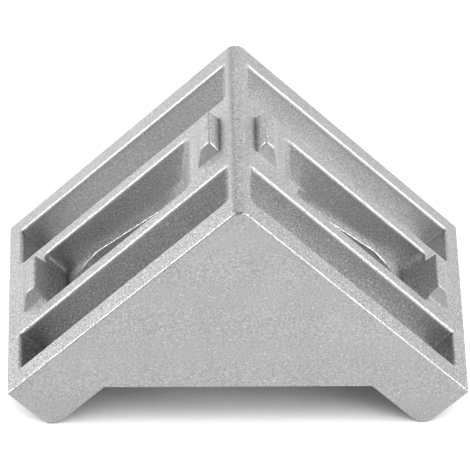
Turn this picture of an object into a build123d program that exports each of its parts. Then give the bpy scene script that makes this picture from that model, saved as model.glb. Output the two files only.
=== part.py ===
from build123d import *
import os
from math import radians, sqrt, tan

# Die-cast corner bracket for 40 mm T-slot profile. All sizes are in millimetres.
#
# The bracket stands like a roof: the corner of the two legs is a ridge along Y at the top, and the
# legs slope down 45 degrees to the left and right and stand on their ends. The two outer faces are
# the mounting faces. They meet at 90 degrees and lie against the two profiles that are joined.
#
# The casting mould opens straight up and down in this position. Walls that look down the slope
# therefore lean back past the vertical, and the side plates taper towards the bottom.

# --- driving dimensions -------------------------------------------------------------------------
leg_length = 40.2  # of each mounting face, from the corner
leg_thickness = 7.85  # from the mounting face to the bolt seat
bracket_width = 35.8  # over the side plates, at the corner
side_plate_drop = 27.35  # from the corner down to the lower edge of the side plates
cavity_width = 28.4  # between the side plates, at the corner
side_draft = 1.3  # degrees, outside of the side plates
cavity_draft = 1.5  # degrees, inside of the side plates
release_angle = 6.5  # degrees past the vertical, for walls that look down the slope
pocket_release_angle = 1.9  # degrees, the same for the pockets

corner_radius = 1.5  # outside of the corner
inside_radius = 3.0  # inside of the corner
foot_radius = 2.0  # inner edge of each leg's end
cavity_root_radius = 1.5  # where the side plates run into the legs
end_corner_radius = 0.3  # upright corners at each leg's end
outer_rim_radius = 0.3  # around the mounting faces
recess_rim_radius = 0.45  # around the recesses in them
channel_corner_radius = 0.8  # upright corners inside the channel
pocket_corner_radius = 0.3  # upright corners inside the pockets

recess_depth = 3.95  # of the channel and of the pockets beside it
channel_start = 8.2  # along the mounting face, from the corner
channel_end = 33.65
channel_width = 10.05
pocket_start = 1.8
pocket_end = 37.9
pocket_width = 6.85
pocket_centre = 10.8  # from the middle of the channel
recess_shift = 0.34  # of the recesses, slots and lugs towards the back: the back rib is the thinner one

# The bolt slot is upright, so its length is level: it is seen in full from straight above.
slot_start = 7.55  # level distance from the corner
slot_end = 20.15
slot_width = 8.6
slot_corner_radius = 1.7  # at the square end by the corner
slot_end_radius = 3.5  # at the other end
ledge_start = 28.6  # along the mounting face: from here to the corner the slot opens in two steps

lug_height = 1.8  # the lugs drop into the mouth of the profile's slot
lug_width = 7.2  # at the mounting face
lug_side_draft = 9.0  # degrees
lug_length = 3.9  # at the mounting face
lug_start = 3.15  # of the lug by the corner, along the mounting face
lug_nose_radius = 1.2
lug_rim_radius = 0.25
upper_lug_shift = 0.45  # of the lug by the corner, towards the back

# --- derived dimensions -------------------------------------------------------------------------
slope = sqrt(0.5)  # sine and cosine of the legs' 45 degrees
lean = tan(radians(45 + release_angle))  # run along the face for each millimetre of wall depth
pocket_lean = tan(radians(45 + pocket_release_angle))
lug_spacing = channel_end - lug_start  # the lower lug carries on the channel's end wall
corner_height = (leg_length + leg_thickness) * slope - foot_radius * (sqrt(2) - 1)
beyond = leg_length  # far enough past the part for any cutting shape


def level_x(along, depth):
    """Level distance from the corner of a point on a leg."""
    return (along - depth) * slope


def height(along, depth):
    """Height of a point on a leg over the ground that the bracket stands on."""
    return corner_height - (along + depth) * slope


# Section through the right leg: x runs down the slope from the corner, y points out of the face.
leg_section = Plane(origin=(0, recess_shift, corner_height), x_dir=(slope, 0, -slope), z_dir=(0, -1, 0))
mounting_plane = Plane(origin=(0, 0, corner_height), x_dir=(slope, 0, -slope), z_dir=(slope, 0, slope))
corner_level = Plane.XY.offset(corner_height)
down_the_slope = Axis((0, 0, 0), (1, 0, -1))
outward_right = Axis((0, 0, 0), (1, 0, 1))
outward_left = Axis((0, 0, 0), (-1, 0, 1))


def recess_side(start, end, wall_lean):
    """Corners of a recess in side view, which reaches as high over the face as it is deep."""
    return [
        (start - recess_depth * wall_lean, recess_depth),
        (start + recess_depth * wall_lean, -recess_depth),
        (end, -recess_depth),
        (end, recess_depth),
    ]


def mounting_faces(part):
    """The flat face furthest out on the right, and the one furthest out on the left."""
    return [part.faces().filter_by(outward).sort_by(outward)[-1] for outward in (outward_right, outward_left)]


def upright_edges(core):
    """Edges of a recess that run from its mouth to its floor."""
    return core.edges() - core.edges().filter_by(Axis.Y) - core.edges().filter_by(down_the_slope)


# --- upper half of the bolt slot ----------------------------------------------------------------
# The slot is as wide as the channel down to a sloping parting surface, where the two mould halves
# met, and narrower below it. That leaves a fine ledge along each side.
with BuildPart() as upper_slot:
    with BuildSketch() as upper_outline:
        with Locations((slot_start, recess_shift)):
            Rectangle(beyond, channel_width, align=(Align.MIN, Align.CENTER))
        fillet(upper_outline.vertices().sort_by(Axis.X)[:2], slot_corner_radius)
    extrude(amount=corner_height + beyond)
    with BuildSketch(leg_section):
        ledge_fall = ledge_start * tan(radians(release_angle))
        with BuildLine():
            Polyline(
                (0, -recess_depth - ledge_fall),
                (ledge_start, -recess_depth),
                (ledge_start, 0),
                (0, 0),
                close=True,
            )
        make_face()
    extrude(amount=bracket_width, both=True, mode=Mode.INTERSECT)

# --- cores that leave the channel and the pockets -------------------------------------------------
with BuildPart() as channel_core:
    with BuildSketch(leg_section):
        with BuildLine():
            Polyline(recess_side(channel_start, channel_end, lean), close=True)
        make_face()
    extrude(amount=channel_width / 2, both=True)
    fillet(upright_edges(channel_core), channel_corner_radius)

with BuildPart() as pocket_cores:
    with BuildSketch(leg_section.offset(pocket_centre), leg_section.offset(-pocket_centre)):
        with BuildLine():
            Polyline(recess_side(pocket_start, pocket_end, pocket_lean), close=True)
        make_face()
    extrude(amount=pocket_width / 2, both=True)
    fillet(upright_edges(pocket_cores), pocket_corner_radius)

# --- lug, as it stands at the corner end of the mounting face -------------------------------------
with BuildPart() as lug:
    with BuildSketch(leg_section) as lug_side:
        with BuildLine():
            Polyline(
                (lug_start, -lug_height),
                (lug_start, lug_height),
                (lug_start + lug_length - lug_height * lean, lug_height),
                (lug_start + lug_length, 0),
                (lug_start + lug_length, -lug_height),
                close=True,
            )
        make_face()
        fillet(lug_side.vertices().group_by(Axis.Y)[-1].sort_by(Axis.X)[-1], lug_nose_radius)
    extrude(amount=lug_width / 2, both=True)
    draft(lug.faces().filter_by(Axis.Y), mounting_plane, lug_side_draft)
    sunk_face = lug.faces().filter_by(outward_right).sort_by(outward_right)[0]
    corner_side = lug.faces().filter_by(down_the_slope).sort_by(Axis.X)[0]
    lug_rims = lug.edges().filter_by(Axis.Y, reverse=True) + corner_side.edges().filter_by(Axis.Y)
    fillet(lug_rims - sunk_face.edges(), lug_rim_radius)

# --- open space between the side plates ----------------------------------------------------------
with BuildPart() as cavity:
    cavity_height = corner_height - leg_thickness * sqrt(2)
    with BuildSketch(Plane.XZ) as cavity_outline:
        with BuildLine():
            Polyline((-cavity_height, 0), (0, cavity_height), (cavity_height, 0), close=True)
        make_face()
        fillet(cavity_outline.vertices().sort_by(Axis.Y)[-1], inside_radius)
    extrude(amount=cavity_width / 2, both=True)
    draft(cavity.faces().filter_by(Axis.Y), corner_level, cavity_draft)
    base_edges = cavity.faces().sort_by(Axis.Z)[0].edges()
    root_edges = cavity.edges().filter_by(Axis.Y, reverse=True) - base_edges
    fillet(root_edges, cavity_root_radius)

with BuildPart() as corner_bracket:
    # --- one leg with its half of the side plates, which the other half mirrors -----------------
    with BuildSketch(Plane.XZ) as outline:
        with BuildLine():
            Polyline(
                (0, corner_height),
                (level_x(leg_length, 0), height(leg_length, 0)),
                (level_x(leg_length, leg_thickness), height(leg_length, leg_thickness)),
                (side_plate_drop - leg_thickness * sqrt(2), corner_height - side_plate_drop),
                (0, corner_height - side_plate_drop),
                close=True,
            )
        make_face()
        fillet(outline.vertices().sort_by(Axis.Y)[0], foot_radius)
    extrude(amount=bracket_width / 2, both=True)
    draft(corner_bracket.faces().filter_by(Axis.Y), corner_level, -side_draft)
    end_face = corner_bracket.faces().filter_by(down_the_slope).sort_by(Axis.X)[-1]
    fillet(end_face.edges().filter_by(Axis.Y, reverse=True), end_corner_radius)

    # --- recesses and bolt slot -----------------------------------------------------------------
    add(channel_core.part, mode=Mode.SUBTRACT)
    add(pocket_cores.part, mode=Mode.SUBTRACT)
    add(upper_slot.part, mode=Mode.SUBTRACT)
    with BuildSketch() as slot_outline:
        with Locations((slot_start, recess_shift)):
            Rectangle(slot_end - slot_start, slot_width, align=(Align.MIN, Align.CENTER))
        fillet(slot_outline.vertices().sort_by(Axis.X)[:2], slot_corner_radius)
        fillet(slot_outline.vertices().sort_by(Axis.X)[-2:], slot_end_radius)
    extrude(amount=corner_height, mode=Mode.SUBTRACT)

    # --- both legs ------------------------------------------------------------------------------
    mirror(about=Plane.YZ)
    add(cavity.part, mode=Mode.SUBTRACT)
    fillet(corner_bracket.edges().filter_by(Axis.Y).sort_by(Axis.Z)[-1], corner_radius)

    # --- rims -----------------------------------------------------------------------------------
    for face in mounting_faces(corner_bracket):
        fillet([edge for wire in face.inner_wires() for edge in wire.edges()], recess_rim_radius)
    corner_face = corner_bracket.faces().filter_by(GeomType.CYLINDER).sort_by(Axis.Z)[-1]
    outer_rims = [face.outer_wire().edges() for face in mounting_faces(corner_bracket)]
    fillet(outer_rims[0] + outer_rims[1] - corner_face.edges(), outer_rim_radius)

    # --- lugs -----------------------------------------------------------------------------------
    with Locations((0, upper_lug_shift, 0), (lug_spacing * slope, 0, -lug_spacing * slope)):
        right_lugs = add(lug.part)
    mirror(right_lugs, about=Plane.YZ)

corner_bracket.part.label = "corner_bracket"
os.makedirs("parts", exist_ok=True)
export_step(corner_bracket.part, "parts/corner_bracket.step")
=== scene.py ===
# %% [markdown]
# # A die-cast corner bracket
# The bracket joins two aluminium profiles at a right angle. It is one casting: two legs, two triangular
# side plates, and locating lugs on both mounting faces. Its shape comes ready made from the CAD model,
# as one closed mesh. What is left to make here is everything that turns a grey solid into raw cast
# metal: the fine blasted grain, the tiny bright crystals with their painted glints, the edges that
# handling has rubbed bright with a painted highlight on them, the painted light and shade on the
# recess walls, the thread of flash in the bolt slots, and the soft light that shows them.

# %% Load the model
from math import cos, radians, sin, tan

import bmesh
import bpy
from mathutils import Matrix, Vector


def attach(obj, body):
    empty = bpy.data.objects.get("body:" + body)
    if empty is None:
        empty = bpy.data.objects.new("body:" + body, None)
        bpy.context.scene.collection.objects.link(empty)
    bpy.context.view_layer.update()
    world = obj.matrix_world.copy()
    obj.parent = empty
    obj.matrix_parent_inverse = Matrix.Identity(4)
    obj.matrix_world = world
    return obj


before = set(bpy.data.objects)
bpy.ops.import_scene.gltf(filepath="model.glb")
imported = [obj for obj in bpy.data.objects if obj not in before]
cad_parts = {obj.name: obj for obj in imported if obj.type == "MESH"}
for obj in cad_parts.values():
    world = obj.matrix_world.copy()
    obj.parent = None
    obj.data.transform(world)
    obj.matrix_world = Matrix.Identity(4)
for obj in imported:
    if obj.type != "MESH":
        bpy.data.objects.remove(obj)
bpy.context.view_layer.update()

MM = 0.001
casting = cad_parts["corner_bracket"]


# %% [markdown]
# ## The camera
# A product like this is usually shot with a long lens from well above the front, so that upright edges
# stay nearly parallel and both mounting faces show. A camera's own axes are easy to get wrong when its
# rotation is typed in as three angles. It is clearer to turn it in steps: tip it down from the upright
# position, swing it round the object, and move it back along its own line of sight.

# %% Camera
VIEW_AZIMUTH = radians(1.34)
VIEW_ELEVATION = radians(36.25)
VIEW_ROLL = radians(0.58)
VIEW_TARGET = Vector((-0.22 * MM, -1.6 * MM, 17.36 * MM))
VIEW_DISTANCE = 807 * MM
NEAREST_SEEN = 10 * MM
SENSOR_WIDTH_MM = 36.0
LENS_MM = 500.1


def add_object(name, data):
    """A new object in the scene that holds a mesh, a lamp or a camera."""
    item = bpy.data.objects.new(name, data)
    bpy.context.scene.collection.objects.link(item)
    return item


camera_data = bpy.data.cameras.new("camera")
camera_data.sensor_width = SENSOR_WIDTH_MM
camera_data.lens = LENS_MM
camera_data.clip_start = NEAREST_SEEN
camera = add_object("camera", camera_data)
bpy.context.scene.camera = camera

turn = (
    Matrix.Rotation(-VIEW_AZIMUTH, 4, "Z")
    @ Matrix.Rotation(radians(90) - VIEW_ELEVATION, 4, "X")
    @ Matrix.Rotation(VIEW_ROLL, 4, "Z")
)
line_of_sight = turn @ Vector((0, 0, -1))
camera.matrix_world = Matrix.Translation(VIEW_TARGET - VIEW_DISTANCE * line_of_sight) @ turn
print("camera stands at", [round(x, 3) for x in camera.location])


# %% [markdown]
# ## Building materials from nodes
# A node tree written out by hand is mostly bookkeeping: make a node, set its values, join its sockets.
# A few small helpers take that over, so that each material below reads as a recipe.

# %% Node helpers
def add_node(tree, kind, **values):
    """A new node. Values that are sockets are linked, other socket names are set, the rest are properties."""
    node = tree.nodes.new(kind)
    for name, value in values.items():
        if name in node.inputs:
            if isinstance(value, bpy.types.NodeSocket):
                tree.links.new(value, node.inputs[name])
            else:
                node.inputs[name].default_value = value
        else:
            setattr(node, name, value)
    return node


def ramp(tree, value, source, target=(0.0, 1.0)):
    """A number that goes from end to end of target while value goes from end to end of source."""
    node = add_node(tree, "ShaderNodeMapRange", Value=value)
    for end, before, after in zip(("Min", "Max"), source, target):
        node.inputs["From " + end].default_value = before
        node.inputs["To " + end].default_value = after
    return node.outputs["Result"]


def calculate(tree, operation, *numbers):
    """One arithmetic step with sockets or plain numbers."""
    node = tree.nodes.new("ShaderNodeMath")
    node.operation = operation
    for socket, number in zip(node.inputs, numbers):
        if isinstance(number, bpy.types.NodeSocket):
            tree.links.new(number, socket)
        else:
            socket.default_value = number
    return node.outputs[0]


print("node helpers ready")


# %% [markdown]
# Every material starts from Blender's own main shader. Both metals here are plain grey, so one number
# per point sets their colour.

# %% Material helpers
def new_material(name):
    """A material, its node tree and its main shader."""
    material = bpy.data.materials.new(name)
    material.use_nodes = True
    return material, material.node_tree, material.node_tree.nodes["Principled BSDF"]


def make_metal(tree, shader, shade, roughness):
    """Turns the shader into bare metal, with a grey and a roughness that change from point to point."""
    grey = add_node(tree, "ShaderNodeCombineColor", Red=shade, Green=shade, Blue=shade)
    tree.links.new(grey.outputs["Color"], shader.inputs["Base Color"])
    tree.links.new(roughness, shader.inputs["Roughness"])
    shader.inputs["Metallic"].default_value = 1.0


print("material helpers ready")

# %% [markdown]
# ## Raw cast aluminium
# The metal comes out of the mould with a dull skin and is then blasted, which leaves a close grain of
# pits about a fifth of a millimetre across. It is bare metal, so the colour sits in the reflection and
# the surface is rough enough to blur it completely. Layers of texture, from coarse to fine, make the
# slow cloudiness of the casting skin, the blasted grain, and the single bright crystals between the
# pits. The white flash of the crystals is a painted glint, added to the colour; their lower roughness
# is real.

# %% Textures
CLOUD_SIZE = 6 * MM
CLOUD_DETAIL = 3.0
GRAIN_SIZE = 0.2 * MM
GRAIN_DETAIL = 2.0
CRYSTAL_SIZE = 0.36 * MM

cast, tree, cast_shader = new_material("cast_aluminium")
coordinates = add_node(tree, "ShaderNodeTexCoord")
place = coordinates.outputs["Object"]
cloud = add_node(
    tree, "ShaderNodeTexNoise", Vector=place, Scale=1 / CLOUD_SIZE, Detail=CLOUD_DETAIL
).outputs["Fac"]
grain = add_node(
    tree, "ShaderNodeTexNoise", Vector=place, Scale=1 / GRAIN_SIZE, Detail=GRAIN_DETAIL
).outputs["Fac"]
crystal = add_node(tree, "ShaderNodeTexVoronoi", Vector=place, Scale=1 / CRYSTAL_SIZE)
print("textures:", CLOUD_SIZE / MM, GRAIN_SIZE / MM, CRYSTAL_SIZE / MM, "mm")

# %% [markdown]
# A crystal is a small round spot in the middle of its cell, and only a few cells have one. Each cell of
# the Voronoi texture carries a random colour, so one channel of it can pick the cells.

# %% Crystals
CRYSTAL_SHARE = 0.16
CRYSTAL_EDGE = (0.1, 0.45)  # distance from the middle of the cell, where the spot starts to fade and ends

cell_luck = add_node(tree, "ShaderNodeSeparateColor", Color=crystal.outputs["Color"]).outputs["Red"]
has_crystal = ramp(tree, cell_luck, (1 - CRYSTAL_SHARE, 1.0))
spot = ramp(tree, crystal.outputs["Distance"], CRYSTAL_EDGE, (1.0, 0.0))
glint = calculate(tree, "MULTIPLY", has_crystal, spot)
print("share of cells with a crystal:", CRYSTAL_SHARE)

# %% [markdown]
# Handling and tumbling rub the sharp rims bright. The bright rim line is partly that wear and partly a
# painted highlight that stands in for the light the rims catch. Rays sent a short way into the metal
# tell where a rim is: in the middle of a face they stay inside, next to an edge they come out on the
# other side. Only the grains that stand proud get it, so the bright line is broken.

# %% Rubbed rims with a painted highlight
RIM_REACH = 0.22 * MM
RIM_SAMPLES = 8
RAYS_INSIDE = (0.75, 0.35)  # share of the rays that stay inside, at an untouched point and at a rim
PROUD_GRAIN = (0.42, 0.58)  # height of the grain, where the rub and painted highlight start and where they are full

inside = add_node(tree, "ShaderNodeAmbientOcclusion", samples=RIM_SAMPLES, inside=True, Distance=RIM_REACH)
near_rim = ramp(tree, inside.outputs["AO"], RAYS_INSIDE)
rub_and_highlight = calculate(tree, "MULTIPLY", near_rim, ramp(tree, grain, PROUD_GRAIN))
print("rims are rubbed within", RIM_REACH / MM, "mm")

# %% [markdown]
# Inside the recesses the walls get painted light and shade: they are painted lighter towards the back
# and darker towards the front. How deep a point lies under the mounting faces follows from its place,
# because they are two planes at 45 degrees that meet over the corner.

# %% Walls of the recesses
SLOPE = cos(radians(45))  # sine and cosine of the legs' slope
CORNER_HEIGHT = 33.15 * MM
RECESSED = (0.3 * MM, 0.9 * MM)  # depth under the face where a wall starts to change, and is changed fully
POCKET_END = 14.6 * MM  # from the middle to the pockets' outer walls
INSIDE_PLATE = 16.06 * MM  # from the middle to well inside the metal beyond them
PAINTED_WALL_SHADE = (-0.09, 0.18)  # painted change of the walls' brightness, at the front and at the back

axes = add_node(tree, "ShaderNodeSeparateXYZ", Vector=place).outputs
fall = calculate(tree, "ADD", calculate(tree, "ABSOLUTE", axes["X"]), axes["Z"])
depth = calculate(tree, "MULTIPLY", calculate(tree, "SUBTRACT", CORNER_HEIGHT, fall), SLOPE)
under_face = ramp(tree, depth, RECESSED)
off_middle = calculate(tree, "ABSOLUTE", axes["Y"])
in_recess = calculate(
    tree, "MULTIPLY", under_face, ramp(tree, off_middle, (POCKET_END, INSIDE_PLATE), (1.0, 0.0))
)
change = ramp(tree, axes["Y"], (-POCKET_END, POCKET_END), PAINTED_WALL_SHADE)
# Painted light and shade: recess walls lighter at the back, darker at the front.
painted_recess_shade = calculate(tree, "ADD", calculate(tree, "MULTIPLY", in_recess, change), 1.0)
print("recess walls change from front to back by", PAINTED_WALL_SHADE)

# %% [markdown]
# The faces that look up the mould are coarser than the upright ones, most of all towards the front, and
# so are the walls of the recesses.

# %% Coarseness
FRONT = 16 * MM  # from the middle to where the grain is strongest
UPRIGHT_GRAIN = 0.8  # strength of the grain on the side plates
MORE_ON_FACES = (0.2, 1.15)  # what the mounting faces add to it, at the back and at the front
MORE_IN_RECESSES = (0.25, 1.1)  # what the recesses add, in the same way
LOOKS_UP = (0.3, 0.6)  # upward part of the surface's direction, from upright to sloping

upward = add_node(tree, "ShaderNodeSeparateXYZ", Vector=coordinates.outputs["Normal"]).outputs["Z"]
looks_up = ramp(tree, calculate(tree, "ABSOLUTE", upward), LOOKS_UP)
face_grain = calculate(tree, "MULTIPLY", looks_up, ramp(tree, axes["Y"], (FRONT, -FRONT), MORE_ON_FACES))
recess_grain = calculate(
    tree, "MULTIPLY", in_recess, ramp(tree, axes["Y"], (FRONT, -FRONT), MORE_IN_RECESSES)
)
coarseness = calculate(tree, "ADD", calculate(tree, "ADD", face_grain, UPRIGHT_GRAIN), recess_grain)
print("grain:", UPRIGHT_GRAIN, "on the side plates,", UPRIGHT_GRAIN + MORE_ON_FACES[1], "on the front ribs")

# %% [markdown]
# The layers come together in one grey. Cloudiness, pits and the painted light and shade of the recess
# walls multiply it, and the crystals' painted glints and the rubbed rims with their painted highlight
# are added on top.

# %% Shade
ALUMINIUM = 0.66
NOISE_SPREAD = (0.3, 0.7)  # the part of its range that a noise texture really uses
WIDE_SPREAD = (0.25, 0.75)
CLOUD_SHADES = (0.97, 1.03)
PIT_SHADES = (-0.3, 0.3)
PAINTED_GLINT_GAIN = 0.4
RUB_AND_HIGHLIGHT_GAIN = 0.2

cloudiness = ramp(tree, cloud, NOISE_SPREAD, CLOUD_SHADES)
pits = calculate(tree, "MULTIPLY", ramp(tree, grain, WIDE_SPREAD, PIT_SHADES), coarseness)
graininess = calculate(tree, "ADD", pits, 1.0)
texture_and_painted_shade = calculate(tree, "MULTIPLY", calculate(tree, "MULTIPLY", cloudiness, graininess), painted_recess_shade)
dull = calculate(tree, "MULTIPLY", texture_and_painted_shade, ALUMINIUM)
# Painted glint: the crystals are made brighter in the colour itself.
sparkle = calculate(tree, "MULTIPLY", calculate(tree, "MULTIPLY", glint, coarseness), PAINTED_GLINT_GAIN)
# Painted highlight: the rims are partly rubbed bright and partly painted as if they caught the light.
shine = calculate(tree, "ADD", sparkle, calculate(tree, "MULTIPLY", rub_and_highlight, RUB_AND_HIGHLIGHT_GAIN))
shade = calculate(tree, "ADD", dull, shine)
print("metal reflects", ALUMINIUM, "of the light, before crystals and rims")

# %% [markdown]
# Pits blur the reflection more than the grains between them, and a crystal's flat side less than both.
# The same grain also tilts the surface, by a bump a few hundredths of a millimetre deep.

# %% Roughness and bump
GRAIN_ROUGHNESS = (0.60, 0.48)
CRYSTAL_POLISH = 0.1
GRAIN_DEPTH = 0.03 * MM
BUMP_STRENGTH = 0.5

roughness = ramp(tree, grain, NOISE_SPREAD, GRAIN_ROUGHNESS)
polish = calculate(tree, "MULTIPLY", glint, CRYSTAL_POLISH)
make_metal(tree, cast_shader, shade, calculate(tree, "SUBTRACT", roughness, polish))
bump = add_node(tree, "ShaderNodeBump", Height=grain, Strength=BUMP_STRENGTH, Distance=GRAIN_DEPTH)
tree.links.new(bump.outputs["Normal"], cast_shader.inputs["Normal"])

casting.data.materials.clear()
casting.data.materials.append(cast)
print("material:", casting.data.materials[0].name)

# %% [markdown]
# ## Flash of the bolt slots
# The bolt slot opens in two steps, and the step between them is where the mould halves met. Metal creeps
# into that joint and leaves a thin thread of flash along the slot's edge. It is too fine to be part of
# the solid. Here it is a round thread half sunk in the edge: like every round bright edge it catches a
# lamp from wherever it is seen, so it shows as a fine white line deep inside the channel.
#
# The step slopes, so its height has to be worked out. A point that lies some way along a mounting face
# and some depth under it is (along - depth) * SLOPE away from the corner and (along + depth) * SLOPE
# under it. The step is as deep as the channel's floor where it starts, and deeper towards the corner.

# %% Height of the step
CHANNEL_DEPTH = 3.95 * MM
STEP_START = 28.6 * MM  # along the mounting face, from the corner
STEP_FALL = tan(radians(6.5))


def step_height(x):
    """Height of the slot's step at a level distance x from the corner."""
    along_less_depth = x / SLOPE
    along = (along_less_depth + CHANNEL_DEPTH + STEP_START * STEP_FALL) / (1 + STEP_FALL)
    if along > STEP_START:
        along = along_less_depth + CHANNEL_DEPTH
    return CORNER_HEIGHT - (2 * along - along_less_depth) * SLOPE


print("step starts", round(step_height((STEP_START - CHANNEL_DEPTH) * SLOPE) / MM, 2), "mm above the ground")

# %% [markdown]
# Seen from straight above, the flash follows one side of the slot, goes round its lower end in an arc,
# and comes back along the other side.

# %% Line of the flash
FLASH_START = 9.4 * MM  # level distance from the corner
SLOT_END = 20.15 * MM
SLOT_END_RADIUS = 3.5 * MM
SLOT_HALF_WIDTH = 4.3 * MM
SLOT_MIDDLE = 0.34 * MM
RUN_STEPS = 24
TURN_STEPS = 8

turn_x = SLOT_END - SLOT_END_RADIUS
turn_y = SLOT_HALF_WIDTH - SLOT_END_RADIUS
half_line = [
    (FLASH_START + (turn_x - FLASH_START) * step / RUN_STEPS, SLOT_HALF_WIDTH) for step in range(RUN_STEPS)
]
for step in range(TURN_STEPS + 1):
    turned = radians(90) * step / TURN_STEPS
    half_line.append((turn_x + SLOT_END_RADIUS * sin(turned), turn_y + SLOT_END_RADIUS * cos(turned)))
flash_line = half_line + [(x, -y) for x, y in reversed(half_line)]
print("flash runs along", len(flash_line), "points on each slot")

# %% [markdown]
# The thread swells and thins out along its way, as flash does where the mould closed more or less
# tightly. A curve with a round section makes it, and it is kept as a mesh.

# %% Thread of flash
FLASH_RADIUS = 0.11 * MM
SECTION_STEPS = 2  # of each quarter of its round section
USUAL_SWELL = 0.75
SWELL_CHANGE = 0.35
SWELL_STEP = 2.4  # radians of the wave from one point to the next

flash_curve = bpy.data.curves.new("thread", "CURVE")
flash_curve.dimensions = "3D"
flash_curve.bevel_depth = FLASH_RADIUS
flash_curve.bevel_resolution = SECTION_STEPS
flash_curve.use_fill_caps = True
for side in (-1, 1):
    spline = flash_curve.splines.new("POLY")
    spline.points.add(len(flash_line) - 1)
    for number, (point, (x, y)) in enumerate(zip(spline.points, flash_line)):
        point.co = (side * x, SLOT_MIDDLE + y, step_height(x), 1)
        point.radius = USUAL_SWELL + SWELL_CHANGE * sin(SWELL_STEP * number + side)
thread = bpy.data.objects.new("thread", flash_curve)
flash_mesh = bpy.data.meshes.new_from_object(thread)
flash_mesh.name = "slot_flash"
bpy.data.objects.remove(thread)
flash = add_object("slot_flash", flash_mesh)
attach(flash, "root")
print("flash is up to", round(2 * (USUAL_SWELL + SWELL_CHANGE) * FLASH_RADIUS / MM, 2), "mm thick")

# %% [markdown]
# Flash is fresh metal that the mould pinched smooth. It is brighter and less rough than the blasted
# skin, and the same fine grain breaks its shine.

# %% Bright flash
FLASH_SPREAD = (0.35, 0.6)
FLASH_SHADES = (0.7, 0.95)
FLASH_ROUGHNESS = (0.4, 0.25)

bright, tree, bright_shader = new_material("bright_flash")
flash_place = add_node(tree, "ShaderNodeTexCoord").outputs["Object"]
flash_grain = add_node(
    tree, "ShaderNodeTexNoise", Vector=flash_place, Scale=1 / GRAIN_SIZE, Detail=GRAIN_DETAIL
).outputs["Fac"]
flash_shade = ramp(tree, flash_grain, FLASH_SPREAD, FLASH_SHADES)
make_metal(tree, bright_shader, flash_shade, ramp(tree, flash_grain, FLASH_SPREAD, FLASH_ROUGHNESS))
flash_mesh.materials.append(bright)
print("material:", flash_mesh.materials[0].name)

# %% [markdown]
# ## Floor
# The bracket stands on white paper that runs up behind it with no visible line. A plain square much
# wider than the view does for it, because its white meets the white of the world.

# %% Floor
FLOOR_SIDE = 4.0

floor_shape = bmesh.new()
bmesh.ops.create_grid(floor_shape, x_segments=1, y_segments=1, size=FLOOR_SIDE / 2)
floor_mesh = bpy.data.meshes.new("floor")
floor_shape.to_mesh(floor_mesh)
floor_shape.free()
floor = add_object("floor", floor_mesh)
print("floor is", FLOOR_SIDE, "m square")

# %% [markdown]
# To the camera the paper is burnt out to pure white, and only the places that the bracket covers stay
# grey. Part of this white follows the lamps and gives the cast shadow. The rest is a glow that fades
# where the bracket stands close over the paper, which makes the soft, dark contact shadow. It costs no
# extra light on the metal, because other rays meet plain paper. The rays that the metal mirrors get a
# share of the burnt-out white as well: the side plate reflects the paper in front of it, and with all
# of that white it would outshine the mounting faces.

# %% White paper
PAPER = 0.9
PAPER_ROUGHNESS = 0.9
LIT_WHITE = 0.6
GLOW = 0.78
CONTACT_REACH = 35 * MM
CONTACT_SAMPLES = 16
OPEN_SKY = (0.15, 0.55)  # share of the rays that get past the bracket, where the glow starts and is full
MIRRORED_SHARE = 0.25

paper, tree, paper_shader = new_material("white_paper")
paper_shader.inputs["Base Color"].default_value = (PAPER, PAPER, PAPER, 1)
paper_shader.inputs["Roughness"].default_value = PAPER_ROUGHNESS
lit_white = add_node(tree, "ShaderNodeBsdfDiffuse", Color=(LIT_WHITE, LIT_WHITE, LIT_WHITE, 1))
cover = add_node(tree, "ShaderNodeAmbientOcclusion", samples=CONTACT_SAMPLES, Distance=CONTACT_REACH)
glow = ramp(tree, cover.outputs["AO"], OPEN_SKY, (0.0, GLOW))
own_white = add_node(tree, "ShaderNodeEmission", Strength=glow)
seen_white = tree.nodes.new("ShaderNodeAddShader")
tree.links.new(lit_white.outputs["BSDF"], seen_white.inputs[0])
tree.links.new(own_white.outputs["Emission"], seen_white.inputs[1])
ray = add_node(tree, "ShaderNodeLightPath").outputs
mirrored = calculate(tree, "MULTIPLY", ray["Is Glossy Ray"], MIRRORED_SHARE)
looked_at = calculate(tree, "MAXIMUM", ray["Is Camera Ray"], mirrored)
choice = add_node(tree, "ShaderNodeMixShader", Fac=looked_at)
tree.links.new(paper_shader.outputs["BSDF"], choice.inputs[1])
tree.links.new(seen_white.outputs["Shader"], choice.inputs[2])
tree.links.new(choice.outputs["Shader"], tree.nodes["Material Output"].inputs["Surface"])
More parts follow.
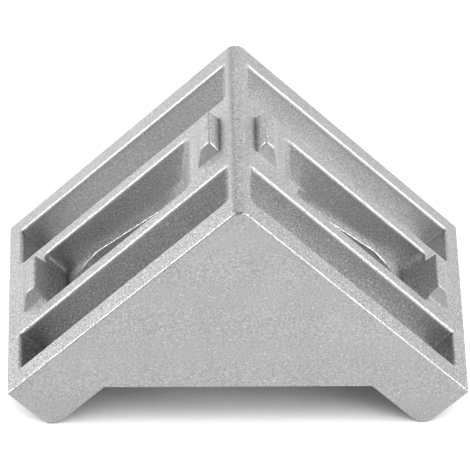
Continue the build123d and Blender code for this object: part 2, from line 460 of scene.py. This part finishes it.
floor_mesh.materials.append(paper)
print("contact shadow reaches", CONTACT_REACH / MM, "mm")

# %% [markdown]
# ## Light
# Small metal parts are shot inside a tent of white cloth, because bare metal shows whatever stands
# around it. A ring of large soft boxes close to the table does the same here. The two strong ones stand
# at the sides, 30 degrees up, and look nearly square on to the mounting faces: the faces and their rims
# catch them, while the recess walls, which look forwards, stay darker. Three weaker ones behind the
# bracket, two of them low, round off the corner with soft reflections. In front there is only one, on
# the right.

# %% Soft boxes
LAMP_TARGET = Vector((0, 0, 15 * MM))
LAMP_DISTANCE = 0.9
LAMP_SIDE = 0.45
LOW = radians(12)
RAISED = radians(30)


def soft_box(name, compass, height, watts):
    """A square lamp that faces the bracket. Its compass angle runs from the right, against the clock."""
    data = bpy.data.lights.new(name, "AREA")
    data.size = LAMP_SIDE
    data.energy = watts
    lamp = add_object(name, data)
    outwards = Vector((cos(compass) * cos(height), sin(compass) * cos(height), sin(height)))
    lamp.location = LAMP_TARGET + LAMP_DISTANCE * outwards
    lamp.rotation_euler = (-outwards).to_track_quat("-Z", "Y").to_euler()
    return lamp


lamps = [
    soft_box("right", radians(0), RAISED, 4.6),
    soft_box("back_right", radians(45), RAISED, 0.9),
    soft_box("back", radians(90), LOW, 2.8),
    soft_box("back_left", radians(135), LOW, 0.7),
    soft_box("left", radians(180), RAISED, 5.5),
    soft_box("front_right", radians(315), RAISED, 2.4),
]
print(len(lamps), "soft boxes give", round(sum(lamp.data.energy for lamp in lamps), 1), "W")

# %% [markdown]
# Past the paper's edge the camera sees a white world. It gives no light: its strength is 1 only for the
# camera's own rays.

# %% World
world = bpy.data.worlds.new("studio")
bpy.context.scene.world = world
world.use_nodes = True
background = world.node_tree.nodes["Background"]
background.inputs["Color"].default_value = (1, 1, 1, 1)
seen = add_node(world.node_tree, "ShaderNodeLightPath").outputs["Is Camera Ray"]
world.node_tree.links.new(seen, background.inputs["Strength"])
bpy.context.scene.view_settings.view_transform = "Standard"
print("world:", world.name)
